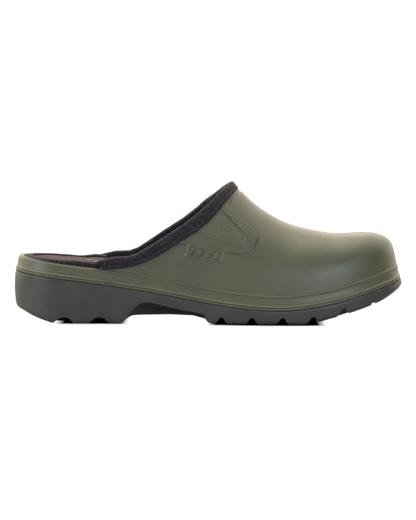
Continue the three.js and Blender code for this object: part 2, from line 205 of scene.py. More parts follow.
class Station:
    """A place on the outline, with the hub that its section runs in to."""

    def __init__(self, x, side):
        self.x = x
        self.side = side
        edge = outline(x, side)
        hub_x = min(max(x, HEEL_HUB), TOE_HUB)
        self.hub = Vector((hub_x, centre_line(hub_x)))
        outward = edge - self.hub
        self.reach = outward.length
        self.outward = outward / self.reach
        toward_toe = self.outward.x ** 2 if x > TOE_HUB else 0
        self.power = mix(arch_power(x), TOE_TIP_POWER, toward_toe)
        self.foot = band_top(x)
        self.rise = vamp_top(hub_x) - self.foot
        self.lean = arch_lean(x)

    def at(self, inset, height):
        p = self.hub + self.outward * (self.reach - inset)
        return Vector((p.x, p.y, height(p.x) if callable(height) else height))

    def arch(self, turn):
        """The vamp's outside, from its foot at turn 0 to the top at turn 90 degrees."""
        up = math.sin(turn) ** (2 / self.power)
        out = max(math.cos(turn), 0) ** (2 / self.power)
        r = (self.reach - BAND_STEP) * out * (1 - self.lean * up)
        p = self.at(self.reach - r, self.foot + self.rise * up)
        # the toe box dips a little behind its tip, and swells just before it drops
        p.z += (0.7 * math.exp(-((p.x - 268) / 11) ** 2) - 0.6 * math.exp(-((p.x - 245) / 12) ** 2)) * up ** 4
        return p

    def turn_at(self, z):
        up = min(max((z - self.foot) / self.rise, 0), 1)
        return math.asin(up ** (self.power / 2))


def fan(steps, start, end):
    """Places along a round end, close together at its tip."""
    return [mix(start, end, math.sin(k / steps * math.pi / 2)) for k in range(steps)]


def stations_round(heel_steps, side_steps, toe_steps):
    """Stations all round the outline: heel, outer side, toe, inner side."""
    xs = [HEEL_HUB * (1 - math.cos(k / heel_steps * math.pi / 2)) for k in range(heel_steps)]
    xs += [mix(HEEL_HUB, TOE_HUB, k / side_steps) for k in range(side_steps)]
    xs += fan(toe_steps, TOE_HUB, LENGTH)
    outer = [Station(x, OUTER) for x in xs + [LENGTH]]
    inner = [Station(x, INNER) for x in xs[1:]]
    return outer + inner[::-1]


# ---- Mesh tools ----------------------------------------------------------------------------------


def select_none():
    if bpy.context.object and bpy.context.object.mode != "OBJECT":
        bpy.ops.object.mode_set(mode="OBJECT")
    bpy.ops.object.select_all(action="DESELECT")


def select_only(obj):
    select_none()
    obj.select_set(True)
    bpy.context.view_layer.objects.active = obj


def edit_all(obj):
    select_only(obj)
    bpy.ops.object.mode_set(mode="EDIT")
    bpy.ops.mesh.select_all(action="SELECT")


def done_editing():
    bpy.ops.object.mode_set(mode="OBJECT")


def apply_modifier(obj, kind, **settings):
    select_only(obj)
    modifier = obj.modifiers.new(kind.title(), kind)
    for key, value in settings.items():
        setattr(modifier, key, value)
    bpy.ops.object.modifier_apply(modifier=modifier.name)


def close_up(obj, distance=0.00002):
    """Merges doubles and turns the faces outwards."""
    edit_all(obj)
    bpy.ops.mesh.remove_doubles(threshold=distance)
    bpy.ops.mesh.normals_make_consistent(inside=False)
    done_editing()


def soften(obj, degrees=35):
    select_only(obj)
    bpy.ops.object.shade_smooth_by_angle(angle=math.radians(degrees))


def join(target, others):
    select_only(target)
    for other in others:
        other.select_set(True)
    bpy.context.view_layer.objects.active = target
    bpy.ops.object.join()
    return target


def sheet_of(name, columns, ring=False, uv=None):
    """A grid shaped to these columns of points, in millimetres. A ring's last column meets its first.
    uv gives each corner's place on the cloth, in metres."""
    if ring:
        columns = columns + columns[:1]
    across, up = len(columns), len(columns[0])
    select_none()
    bpy.ops.mesh.primitive_grid_add(x_subdivisions=across - 1, y_subdivisions=up - 1, size=2)
    obj = bpy.context.object
    obj.name = obj.data.name = name
    places = []
    for v in obj.data.vertices:
        i = round((v.co.x + 1) / 2 * (across - 1))
        j = round((v.co.y + 1) / 2 * (up - 1))
        places.append((i, j))
    for v, (i, j) in zip(obj.data.vertices, places):
        v.co = place(columns[i][j])
    if uv:
        layer = obj.data.uv_layers.active.data
        for loop in obj.data.loops:
            layer[loop.index].uv = uv(*places[loop.vertex_index])
    return obj


def cut(obj, cutter, operation="DIFFERENCE"):
    apply_modifier(obj, "BOOLEAN", operation=operation, object=cutter, solver="EXACT")
    bpy.data.objects.remove(cutter, do_unlink=True)


def prism(profile, low_y, high_y):
    """A side-view profile of (x, z) points, extruded across the clog between two places."""
    select_none()
    bpy.ops.mesh.primitive_circle_add(vertices=len(profile), fill_type="NGON")
    obj = bpy.context.object
    for v, (x, z) in zip(obj.data.vertices, profile):
        v.co = place((x, low_y, z))
    edit_all(obj)
    bpy.ops.mesh.extrude_region_move(TRANSFORM_OT_translate={"value": (0, (high_y - low_y) / 1000, 0)})
    bpy.ops.mesh.select_all(action="SELECT")
    bpy.ops.mesh.normals_make_consistent(inside=False)
    done_editing()
    return obj


def resample(points, count):
    """This many points at even steps along a line of points."""
    lengths = [0]
    for a, b in zip(points, points[1:]):
        lengths.append(lengths[-1] + (b - a).length)
    result, i = [], 0
    for k in range(count):
        want = lengths[-1] * k / (count - 1)
        while i < len(points) - 2 and lengths[i + 1] < want:
            i += 1
        span = lengths[i + 1] - lengths[i]
        result.append(points[i].lerp(points[i + 1], (want - lengths[i]) / span if span else 0))
    return result


# ---- Materials -----------------------------------------------------------------------------------


def linear(colour):
    """An sRGB hex colour as linear values."""
    channels = [int(colour[i:i + 2], 16) / 255 for i in (1, 3, 5)]
    return [c / 12.92 if c <= 0.04045 else ((c + 0.055) / 1.055) ** 2.4 for c in channels] + [1]


def add_node(tree, kind, settings=None, **inputs):
    """Adds a node, sets its properties and its inputs by name, and links an input that is given a socket."""
    node = tree.nodes.new(kind)
    for key, value in (settings or {}).items():
        setattr(node, key, value)
    for key, value in inputs.items():
        name = key.replace("_", " ")
        socket = node.inputs[int(key[1:])] if key[0] == "i" and key[1:].isdigit() else node.inputs[name]
        if isinstance(value, bpy.types.NodeSocket):
            tree.links.new(value, socket)
        else:
            socket.default_value = value
    return node


def new_material(name, colour, roughness, **shader):
    material = bpy.data.materials.new(name)
    material.use_nodes = True
    tree = material.node_tree
    bsdf = tree.nodes["Principled BSDF"]
    bsdf.inputs["Base Color"].default_value = linear(colour)
    bsdf.inputs["Roughness"].default_value = roughness
    for key, value in shader.items():
        bsdf.inputs[key.replace("_", " ")].default_value = value
    return material, tree, bsdf


def object_place(tree, scale=(1, 1, 1)):
    coords = add_node(tree, "ShaderNodeTexCoord")
    return add_node(tree, "ShaderNodeMapping", Vector=coords.outputs["Object"], Scale=scale).outputs[0]


def cloth_place(tree, scale=(1, 1, 1)):
    coords = add_node(tree, "ShaderNodeTexCoord")
    return add_node(tree, "ShaderNodeMapping", Vector=coords.outputs["UV"], Scale=scale).outputs[0]


def grain(tree, place_socket, size_mm, detail=3, roughness=0.55):
    """Noise whose grains are about this wide."""
    return add_node(
        tree, "ShaderNodeTexNoise",
        Vector=place_socket, Scale=1000 / size_mm, Detail=detail, Roughness=roughness,
    ).outputs["Fac"]


def wave_scale(pitch_mm):
    """The Wave Texture's scale that puts its bands this far apart."""
    return 2 * math.pi / 20 * 1000 / pitch_mm


def tone(tree, factor, dark, light, low=0.3, high=0.7):
    ramp = add_node(tree, "ShaderNodeValToRGB", Fac=factor)
    ramp.color_ramp.elements[0].position, ramp.color_ramp.elements[0].color = low, linear(dark)
    ramp.color_ramp.elements[1].position, ramp.color_ramp.elements[1].color = high, linear(light)
    return ramp.outputs["Color"]


def blend_colour(tree, factor, a, b, how="MIX"):
    node = add_node(tree, "ShaderNodeMix", {"data_type": "RGBA", "blend_type": how})
    for socket, value in ((node.inputs[0], factor), (node.inputs[6], a), (node.inputs[7], b)):
        if isinstance(value, bpy.types.NodeSocket):
            tree.links.new(value, socket)
        else:
            socket.default_value = value
    return node.outputs[2]


def calc(tree, operation, a, b=0.0):
    return add_node(tree, "ShaderNodeMath", {"operation": operation}, i0=a, i1=b).outputs[0]


def bump(tree, bsdf, height, depth_mm, strength=1.0, under=None):
    settings = {"Height": height, "Distance": depth_mm / 1000, "Strength": strength}
    if under is not None:
        settings["Normal"] = under
    node = add_node(tree, "ShaderNodeBump", **settings)
    tree.links.new(node.outputs[0], bsdf.inputs["Normal"])
    return node.outputs[0]


def moulded_khaki_pvc():
    """Soft injected PVC: satin, slightly cloudy in colour, with a fine leather-like grain from the mould."""
    material, tree, bsdf = new_material("moulded_khaki_pvc", "#525443", 0.42, Specular_IOR_Level=0.5)
    spot = object_place(tree)
    cloud = tone(tree, grain(tree, spot, 38, 2), "#4c4e3f", "#565846")
    fleck = tone(tree, grain(tree, spot, 1.2, 2), "#8c8c8c", "#ffffff", 0.2, 0.62)
    base = blend_colour(tree, 0.18, cloud, fleck, "MULTIPLY")
    # painted shade: the base colour goes darker along the creases of the moulded outlines, the peak line and
    # the panel's upper edge, where shade falls
    shaded_crease = add_node(tree, "ShaderNodeAttribute", {"attribute_name": "shaded_crease"}).outputs["Fac"]
    base = blend_colour(tree, calc(tree, "MULTIPLY", shaded_crease, 0.75), base, linear("#22241a"))
    tree.links.new(base, bsdf.inputs["Base Color"])
    shine = add_node(tree, "ShaderNodeMapRange", Value=grain(tree, spot, 9, 4), To_Min=0.34, To_Max=0.48)
    tree.links.new(shine.outputs[0], bsdf.inputs["Roughness"])
    # grain about 1.4 mm across, which is as fine as shows
    skin = bump(tree, bsdf, grain(tree, spot, 1.4, 3), 0.2, 0.7)
    # the mesh of small lozenges in the sunk panel
    mesh = add_node(tree, "ShaderNodeAttribute", {"attribute_name": "mesh_panel"}).outputs["Fac"]
    waves = []
    for turn in (1, -1):
        turned = add_node(
            tree, "ShaderNodeMapping",
            Vector=add_node(tree, "ShaderNodeTexCoord").outputs["Object"],
            Rotation=(0, math.radians(turn * 48 + 8), 0),
        ).outputs[0]
        # bands 1.7 mm apart
        waves.append(add_node(
            tree, "ShaderNodeTexWave", {"bands_direction": "X", "wave_profile": "SIN"},
            Vector=turned, Scale=wave_scale(1.7),
        ).outputs["Fac"])
    lozenge = calc(tree, "MULTIPLY", calc(tree, "MULTIPLY", waves[0], waves[1]), mesh)
    bump(tree, bsdf, lozenge, 0.26, 1.0, skin)
    return material


def moulded_black_sole():
    """Dense black PVC sole: matt, with the faint upright drag marks of its mould."""
    material, tree, bsdf = new_material("moulded_black_sole", "#3b3b3b", 0.46, Specular_IOR_Level=0.4)
    spot = object_place(tree)
    base = tone(tree, grain(tree, spot, 16, 4), "#353536", "#404040")
    tree.links.new(base, bsdf.inputs["Base Color"])
    drag = grain(tree, object_place(tree, (1, 1, 0.08)), 1.6, 3)
    first = bump(tree, bsdf, drag, 0.08, 0.35)
    bump(tree, bsdf, grain(tree, spot, 1.1, 3), 0.06, 0.5, first)
    return material


def woven(name, dark, light, thread_mm, roughness, depth_mm, speckle, sheen=0.25):
    """A cloth of crossing threads, which follow the piece's own UV map in metres."""
    material, tree, bsdf = new_material(name, light, roughness, Specular_IOR_Level=0.2, Sheen_Weight=sheen)
    cloth = cloth_place(tree)
    waves = []
    for direction in ("X", "Y"):
        waves.append(add_node(
            tree, "ShaderNodeTexWave", {"bands_direction": direction, "wave_profile": "SIN"},
            Vector=cloth, Scale=wave_scale(thread_mm), Distortion=0.6, Detail=1.0, Detail_Scale=3.0,
        ).outputs["Fac"])
    weave = calc(tree, "MAXIMUM", waves[0], waves[1])
    spot = object_place(tree)
    shade = tone(tree, grain(tree, spot, speckle, 3), dark, light)
    threads = blend_colour(tree, 0.45, shade, tone(tree, weave, "#777777", "#ffffff", 0.35, 0.9), "MULTIPLY")
    tree.links.new(threads, bsdf.inputs["Base Color"])
    first = bump(tree, bsdf, weave, depth_mm, 0.8)
    bump(tree, bsdf, grain(tree, spot, 0.5, 2), 0.06, 0.6, first)
    return material


def binding_tape():
    """Woven polyester binding tape: blue-black with a brownish bloom. Its threads are drawn 1.3 mm apart,
    coarser than such tape usually has, so that the weave shows."""
    return woven("woven_binding_tape", "#0e0e18", "#3c3640", 1.3, 0.85, 0.4, 1.8, 0.08)


def jersey_lining():
    """Warp-knit jersey lining: near black and soft, ribs 1.2 mm apart."""
    return woven("knit_jersey_lining", "#1d1c1f", "#2f2c2f", 1.2, 0.95, 0.2, 4, 0.35)


def brushed_cloth():
    """Brushed brown lining cloth on the footbed: matt, with a short nap and paler worn patches."""
    material, tree, bsdf = new_material(
        "brushed_brown_cloth", "#524144", 1.0, Specular_IOR_Level=0.08, Sheen_Weight=0.06, Sheen_Roughness=0.6
    )
    spot = object_place(tree)
    worn = tone(tree, grain(tree, spot, 24, 3), "#433336", "#5f4c4d")
    nap = tone(tree, grain(tree, object_place(tree, (0.4, 1, 1)), 0.8, 3), "#8a8a8a", "#ffffff", 0.3, 0.75)
    tree.links.new(blend_colour(tree, 0.55, worn, nap, "MULTIPLY"), bsdf.inputs["Base Color"])
    bump(tree, bsdf, grain(tree, spot, 0.7, 3), 0.18, 0.7)
    return material


def cut_foam():
    """Cut foam: dark grey with open cells about 1 mm wide."""
    material, tree, bsdf = new_material("cut_foam", "#2b2a2c", 0.95, Specular_IOR_Level=0.15)
    spot = object_place(tree)
    cells = add_node(tree, "ShaderNodeTexVoronoi", Vector=spot, Scale=1000 / 1.1).outputs["Distance"]
    tree.links.new(tone(tree, cells, "#1f1e20", "#363437", 0.1, 0.7), bsdf.inputs["Base Color"])
    bump(tree, bsdf, cells, 0.25, 0.8)
    return material


def pressed_fibreboard():
    """Pressed fibre insole board: raw, pale grey-brown, with felted fibres."""
    material, tree, bsdf = new_material("pressed_fibreboard", "#8a8478", 0.95, Specular_IOR_Level=0.15)
    fibres = grain(tree, object_place(tree, (0.25, 1, 1)), 0.9, 5, 0.7)
    tree.links.new(tone(tree, fibres, "#746d60", "#989183"), bsdf.inputs["Base Color"])
    bump(tree, bsdf, fibres, 0.12, 0.7)
    return material


def spun_thread(name, dark, light):
    """Spun polyester thread: slightly fuzzy, with a faint mottle along it."""
    material, tree, bsdf = new_material(name, light, 0.7, Specular_IOR_Level=0.3, Sheen_Weight=0.2)
    fibres = grain(tree, object_place(tree), 0.5, 2)
    tree.links.new(tone(tree, fibres, dark, light), bsdf.inputs["Base Color"])
    bump(tree, bsdf, fibres, 0.08, 0.6)
    return material


def faded_print():
    """A heat-transfer print, mostly rubbed away."""
    material, tree, bsdf = new_material("faded_transfer_print", "#857a76", 0.85, Specular_IOR_Level=0.2)
    spot = object_place(tree)
    tree.links.new(tone(tree, grain(tree, spot, 1.4, 4), "#665a56", "#968c88"), bsdf.inputs["Base Color"])
    bump(tree, bsdf, grain(tree, spot, 0.6, 2), 0.05, 0.5)
    return material


KHAKI = moulded_khaki_pvc()
BLACK = moulded_black_sole()
TAPE_CLOTH = binding_tape()
JERSEY = jersey_lining()
BROWN = brushed_cloth()
FOAM_CELLS = cut_foam()
FIBREBOARD = pressed_fibreboard()
SEAM_THREAD = spun_thread("dark_seam_thread", "#141317", "#26242a")
LOOSE_THREAD = spun_thread("pale_loose_thread", "#8f8882", "#b9b2aa")
PRINT = faded_print()


def finish_piece(obj, material, body, slot, *nodes):
    """Gives a piece its material and its body, and says which CAD nodes it stands for."""
    obj.data.materials.clear()
    obj.data.materials.append(material)
    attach(obj, body)
    if nodes:
        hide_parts(*nodes)
    return obj


# ---- The shell's relief --------------------------------------------------------------------------

# Side-view outlines on the vamp's flank, as (x, z).
PANEL = [(127, 69), (133.8, 68.4), (144.3, 65.5), (158.6, 62.5), (167, 61.2), (170.4, 61.9), (172.3, 63.8),
         (172.2, 66), (170.6, 68.3), (167.5, 71.2), (159.7, 78.8), (153.6, 84.6), (146, 91.5)]
STRAP = [(110, 59.8), (122.8, 59.5), (129.5, 59.5), (150, 55.5), (157.7, 54), (165.6, 52.7), (169.2, 52.4),
         (173.6, 54), (178.6, 57.6), (181.7, 63.9), (180.5, 68.3), (176.1, 72.8), (160, 90), (120, 96)]
PLAQUE = [(130.4, 59.0), (156.4, 53.8), (154.2, 46.0), (127.8, 50.9)]
PEAK_LINE = [(169.5, 97.6), (166, 95.8), (163, 92.8), (161.2, 89), (161.4, 87)]


def distance_to_line(x, z, line, closed=False):
    best = 1e9
    ends = line[1:] + line[:1] if closed else line[1:]
    for (ax, az), (bx, bz) in zip(line, ends):
        dx, dz = bx - ax, bz - az
        t = min(max(((x - ax) * dx + (z - az) * dz) / (dx * dx + dz * dz), 0), 1)
        best = min(best, math.hypot(x - ax - t * dx, z - az - t * dz))
    return best


def inside(x, z, shape):
    """How far a point is inside a closed outline, negative outside."""
    odd = False
    for (ax, az), (bx, bz) in zip(shape, shape[1:] + shape[:1]):
        if (az > z) != (bz > z) and x < (bx - ax) * (z - az) / (bz - az) + ax:
            odd = not odd
    d = distance_to_line(x, z, shape, closed=True)
    return d if odd else -d


def plaque_height(x, z):
    """A raised frame with four slanted bars in it."""
    depth = inside(x, z, PLAQUE)
    if depth < -1:
        return 0
    rim = smooth(-0.5, 0.2, depth) * (1 - smooth(0.6, 1.2, depth))
    (ax, az), (bx, bz) = PLAQUE[0], PLAQUE[1]
    run = (x - ax) * (bx - ax) + (z - az) * (bz - az)
    share = run / ((bx - ax) ** 2 + (bz - az) ** 2) + (z - az) * -0.0042
    bars = math.cos((share * 4 + 0.5) * 2 * math.pi)
    bar = smooth(0.0, 0.5, bars) * smooth(1.6, 2.2, depth)
    return max(0.6 * rim, 1.1 * bar)


def relief(x, z, side):
    """How far the moulded detail stands out of the vamp, how much of the mesh pattern it has, and how much
    painted shade its base colour gets along the creases, the peak line and the panel's upper edge."""
    if not (105 < x < 190 and 38 < z < 104):
        return 0, 0, 0
    in_panel = inside(x, z, PANEL)
    panel = smooth(-0.4, 0.4, in_panel)
    fade = 1 - smooth(70, 80, z - 0.6 * (176 - x) * (x < 176))
    in_strap = inside(x, z, STRAP)
    strap = smooth(-0.5, 0.5, in_strap) * fade * smooth(116, 122, x)
    height = 0.35 * strap - 1.1 * panel + 0.4 * math.exp(-((in_panel + 0.9) / 0.6) ** 2) * strap
    # painted shade along the strap's outer edge, which the same mask also sinks into a shallow groove
    shaded_crease = math.exp(-((in_strap + 0.4) / 0.5) ** 2) * fade * smooth(116, 122, x)
    shaded_crease *= smooth(1, 3, distance_to_line(x, z, PLAQUE, True))
    height -= 0.2 * shaded_crease
    if side == OUTER:
        height = max(height, plaque_height(x, z) + 0.35 * strap)
    # the peak line is sunk, and painted shade darkens it
    peak = 1 - smooth(0.2, 1.0, distance_to_line(x, z, PEAK_LINE))
    height -= 0.6 * peak
    # painted shade on the panel's upper edge, where its step faces down
    upper_edge_shade = math.exp(-((in_panel + 0.1) / 0.45) ** 2) * smooth(66, 70, z)
    return height, smooth(0.6, 2.2, in_panel), max(shaded_crease, 0.6 * peak, 0.7 * upper_edge_shade)


# ---- The shell -----------------------------------------------------------------------------------


def collar_height(x, line=COLLAR):
    """The height of a side-view line that rises towards the toe."""
    for (ax, az), (bx, bz) in zip(line, line[1:]):
        if x <= bx:
            return mix(az, bz, max((x - ax) / (bx - ax), 0))
    return 1e6


def vamp_columns(xs, rows, inset=0.0, below_collar=0.0, foot_drop=4.0):
    """Columns of points on the vamp, from the outer wing round the toe to the inner wing, up to the collar."""
    columns, kinds = [], []
    for side in (OUTER, INNER):
        half = []
        for x in xs:
            st = Station(x, side)
            limit = collar_height(x) - below_collar if x < COLLAR[-1][0] else 1e6
            top = st.turn_at(limit) if limit < st.foot + st.rise else math.pi / 2
            line = [st.arch(top * k / 120) for k in range(121)]
            points = resample(line, rows)
            half.append([st.at(BAND_STEP, st.foot - foot_drop)] + points)
        if side == INNER:
            half = half[:-1][::-1]
        columns += half
        kinds += [side] * len(half)
    if inset:
        columns = offset(columns, -inset)
    return columns, kinds


def offset(columns, distance):
    """Moves a grid of points along its outward directions."""
    moved = []
    for i, column in enumerate(columns):
        before, after = columns[max(i - 1, 0)], columns[min(i + 1, len(columns) - 1)]
        new = []
        for j, p in enumerate(column):
            up = column[min(j + 1, len(column) - 1)] - column[max(j - 1, 0)]
            round_ = after[j] - before[j]
            normal = round_.cross(up)
            if j == len(column) - 1 and p.x > COLLAR[-1][0] - 0.5:
                slope = 0 if p.x >= TOE_HUB - 0.5 else (vamp_top(p.x + 1) - vamp_top(p.x - 1)) / 2
                normal = Vector((-slope, 0, 1))
            new.append(p + normal.normalized() * distance if normal.length > 1e-9 else p.copy())
        moved.append(new)
    return moved


def vamp_places(fine=0.45, rest=1.0):
    """Places along the vamp, closest together where the moulded detail is."""
    xs = []
    for start, end, step in ((COLLAR[0][0], 116, 1.7 * rest), (116, 184, fine), (184, TOE_HUB, 2.2 * rest)):
        count = round((end - start) / step)
        xs += [mix(start, end, k / count) for k in range(count)]
    return xs + fan(round(24 / rest), TOE_HUB, LENGTH) + [LENGTH]


def boundary_only(obj):
    """Selects the open edges of a mesh in edit mode."""
    edit_all(obj)
    bpy.ops.mesh.select_mode(type="EDGE")
    bpy.ops.mesh.select_all(action="DESELECT")
    bpy.ops.mesh.select_non_manifold(
        extend=False, use_wire=False, use_multi_face=False, use_non_contiguous=False, use_verts=False
    )


def make_vamp():
    columns, sides = vamp_columns(vamp_places(), 138)
    raised, panel = [], []
    for column, side in zip(columns, sides):
        tops = [relief(p.x, p.z, side) for p in column]
        raised.append([top[0] for top in tops])
        panel.append([top[1:] for top in tops])
    ahead = offset(columns, 1.0)
    shaped = [
        [p + (n - p) * lift for p, n, lift in zip(column, normals, lifts)]
        for column, normals, lifts in zip(columns, ahead, raised)
    ]
    vamp = sheet_of("upper_vamp", shaped, uv=lambda i, j: panel[i][j])
    mesh_mask = vamp.data.attributes.new("mesh_panel", "FLOAT", "POINT")
    # the crease mask carries painted shade into the base colour
    shaded_crease_mask = vamp.data.attributes.new("shaded_crease", "FLOAT", "POINT")
    values = {}
    for loop in vamp.data.loops:
        values[loop.vertex_index] = tuple(vamp.data.uv_layers.active.data[loop.index].uv)
    for index, (mesh, shaded_crease) in values.items():
        mesh_mask.data[index].value = mesh
        shaded_crease_mask.data[index].value = shaded_crease
    close_up(vamp)
    inner_columns, _ = vamp_columns(vamp_places(2.4, 1.6), 40, inset=SHELL_WALL - 0.2)
    inner = sheet_of("vamp_inside", inner_columns)
    close_up(inner)
    edit_all(inner)
    bpy.ops.mesh.flip_normals()
    done_editing()
    join(vamp, [inner])
    boundary_only(vamp)
    bpy.ops.mesh.bridge_edge_loops()
    bpy.ops.mesh.select_mode(type="VERT")
    bpy.ops.mesh.select_all(action="SELECT")
    bpy.ops.mesh.normals_make_consistent(inside=False)
    done_editing()
    soften(vamp, 50)
    return vamp


BAND_PROFILE = [  # (inset, height above the joint): bead, groove, face and upper ridge
    (3.2, 0), (0.75, 0), (0.3, 0.1), (0.02, 0.45), (0.0, 1.0), (0.12, 1.45), (0.5, 1.65), (0.95, 1.7),
    (1.0, 1.95), (0.55, 2.1), (0.22, 2.3), (0.15, 2.6), (0.4, 2.95), (0.95, 3.2), (1.25, 3.7), (1.6, 5.2),
    (1.95, 7.2), (2.15, 8.8), (2.12, 9.4), (1.9, 9.65), (1.75, 9.95), (1.75, 10.35), (1.95, 10.8), (2.4, 11.1),
]


def make_tub():
    """The shell's lower part: welt band, heel rim, inner wall and floor."""
    columns = []
    for st in stations_round(22, 84, 34):
        joint = joint_height(st.x)
        column = [st.at(st.reach, joint_height), st.at(8, joint_height)]
        plain = 1 - smooth(50, 72, st.x) + 0.5 * smooth(268, 286, st.x)
        back = 1 - smooth(0, 16, st.x)
        for inset, up in BAND_PROFILE:
            leaning = 1.25 + 0.16 * (up - 3.7) + 0.9 * smooth(9.8, 11.1, up)
            if up > 3.7:
                inset = mix(inset, leaning, plain)
            column.append(st.at(inset - 0.6 * back, joint + up))
        top = joint + BAND_HEIGHT
        wall = BAND_STEP + SHELL_WALL
        column += [st.at(3.2, top), st.at(4.4, top), st.at(wall - 0.4, top - 0.2), st.at(wall, top - 0.7)]
        column += [st.at(wall, mix(top, floor_height(st.x), 0.6)), st.at(wall, floor_height)]
        column += [st.at(mix(wall, st.reach, 0.4), floor_height), st.at(st.reach, floor_height)]
        columns.append(column)
    tub = sheet_of("upper_tub", columns, ring=True)
    close_up(tub)
    soften(tub, 60)
    return tub


def make_shell():
    finish_piece(make_tub(), KHAKI, "clog", "khaki_pvc", "upper_shell")
    finish_piece(make_vamp(), KHAKI, "clog", "khaki_pvc", "upper_shell")


# ---- The sole ------------------------------------------------------------------------------------


def groove_profile(x, width, roof, depth=TREAD_DEPTH):
    """A groove's bell-shaped side view, on the ground's own slope, with its longer flank towards the heel."""
    here = ground(x)
    slope = (ground(x + width / 2) - ground(x - width / 2)) / width
    half, mouth = roof / 2, width / 2
    right = [(width, -8), (mouth + 0.6, -0.6), (mouth, 0.5), (mix(mouth, half, 0.4), 0.3 * depth),
             (mix(mouth, half, 0.85), 0.55 * depth)]
    shoulder = 0.68 * depth
    arc = [(half * math.cos(a), shoulder + (depth - shoulder) * math.sin(a))
           for a in (math.radians(18 * k) for k in range(11))]
    left = [(-mix(mouth, half, 0.75), 0.55 * depth), (-mix(mouth, half, 0.2), 0.3 * depth),
            (-mouth - 0.5, 0.5), (-mouth - 1.2, -0.6), (-width, -8)]
    return [(x + dx, here + dz + slope * dx) for dx, dz in right + arc + left]


def side_groove(x, width, roof, depth, side, run):
    edge = outline(x, side).y
    ends = sorted((edge - side * run, edge + side * 10))
    return prism(groove_profile(x, width, roof, depth), *ends)


def channel(start, end, middle, width):
    steps = 8
    roof = [(mix(start, end, k / steps), ground(mix(start, end, k / steps)) + 0.8 * TREAD_DEPTH)
            for k in range(steps + 1)]
    return prism([(start, -8)] + roof + [(end, -8)], middle - width / 2, middle + width / 2)


def waist_cutters():
    skirt = [(share * LENGTH, z) for share, z in [
        (0.275, -9), (0.275, 0), (0.281, 1.4), (0.287, 3.5), (0.296, 7.6), (0.308, 11.5), (0.314, 13.3),
        (0.321, 14.6), (0.328, 15.5), (0.337, 16), (0.35, 16), (0.381, 14), (0.427, 11), (0.474, 8.6),
        (0.486, 7.7), (0.489, 7.0), (0.492, 4), (0.498, 2.0), (0.507, 0.7), (0.52, 0), (0.52, -9),
    ]]
    web = [(share * LENGTH, z) for share, z in [
        (0.28, -9), (0.28, 0), (0.286, 1.7), (0.294, 3.4), (0.303, 4.6), (0.318, 5), (0.4, 5.4), (0.46, 4.6),
        (0.485, 2.6), (0.505, 0), (0.505, -9),
    ]]
    return [prism(skirt, -150, -20), prism(skirt, 20, 150), prism(web, -150, 150)]


def level(x):
    """The sole's top, just under the shell."""
    return joint_height(x) - SEAT_GAP


def make_outsole():
    columns = []
    for st in stations_round(20, 78, 32):
        top = level(st.x)
        edge = outline(st.x, st.side)
        low = ground(edge.x)
        fore = smooth(100, 150, st.x)
        side = [(11, low)]
        for inset, heel, tread in [(7, 0, 0.15), (4, 0, 0.5), (2.2, 0, 0.9), (1.0, 0.15, 1.4), (0.3, 0.6, 2),
                                   (-0.1, 1.3, 2.8)]:
            side.append((inset, low + mix(heel, tread, fore)))
        toe = smooth(268, 284, st.x)
        for k in range(5):
            flare = mix(0.35 + 0.65 * k / 4, 1.7 - 0.6 * k / 4, toe)
            flare += HEEL_BULGE[k] * (1 - smooth(0, 14, st.x))
            side.append((-SOLE_FLARE * flare, mix(low + 4, top - 2, k / 4)))
        side += [(-SOLE_FLARE, top - 0.8), (-SOLE_FLARE + 0.15, top - 0.3), (-SOLE_FLARE + 0.5, top - 0.05),
                 (1.0, top)]
        column = [st.at(st.reach, ground), st.at(mix(11, st.reach, 0.5), ground)]
        column += [st.at(inset, z) for inset, z in side]
        column += [st.at(6, level), st.at(mix(6, st.reach, 0.5), level), st.at(st.reach, level)]
        columns.append(column)
    sole = sheet_of("outsole_moulded", columns, ring=True)
    close_up(sole)
    first = FIRST_GROOVE_AT * LENGTH
    cutters = waist_cutters()
    for side in (OUTER, INNER):
        for k in range(GROOVES - 1):
            run = LUG_LENGTH if k < FULL_GROOVES else TOE_GROOVE_RUN
            cutters.append(side_groove(first + k * GROOVE_PITCH, *FORE_GROOVE, side, run))
        cutters.append(side_groove(first + (GROOVES - 1) * GROOVE_PITCH, *LAST_GROOVE, side, LAST_GROOVE_RUN))
        for share in HEEL_GROOVES_AT:
            cutters.append(side_groove(share * LENGTH, *HEEL_GROOVE, side, LUG_LENGTH - 4))
        end = first + (GROOVES - 3) * GROOVE_PITCH
        cutters.append(channel(first, end, side * CHANNEL_FROM_MIDDLE, CHANNEL_WIDTH))
    for k in range(GROOVES - 3):
        x = first + (k + 0.5) * GROOVE_PITCH
        cutters.append(prism(groove_profile(x, *CENTRE_GROOVE), -CHANNEL_FROM_MIDDLE, CHANNEL_FROM_MIDDLE))
    for cutter in cutters:
        cut(sole, cutter)
    apply_modifier(sole, "BEVEL", width=0.0004, segments=2, limit_method="ANGLE", angle_limit=math.radians(38))
    soften(sole, 32)
    return finish_piece(sole, BLACK, "clog", "black_pvc", "outsole")


# ---- The sock lining and the bound collar --------------------------------------------------------


def make_lining():
    inset = SHELL_WALL + SEAT_GAP
    columns, _ = vamp_columns(vamp_places(1.6, 1.6), 40, inset=inset, below_collar=0.4)
    shaped = []
    for column in columns:
        foot = column[0].copy()
        foot.z = floor_height(foot.x) + SEAT_GAP
        shaped.append([foot] + column[1:])
    spans = [0]
    for a, b in zip(shaped, shaped[1:]):
        spans.append(spans[-1] + (b[8] - a[8]).length)
    lining = sheet_of(
        "sock_lining", shaped, uv=lambda i, j: (spans[i] / 1000, (shaped[i][j] - shaped[i][0]).length / 1000)
    )
    close_up(lining)
    apply_modifier(lining, "SOLIDIFY", thickness=LINING / 1000, offset=-1)
    soften(lining, 60)
    return finish_piece(lining, JERSEY, "clog", "knit_lining", "vamp_lining")


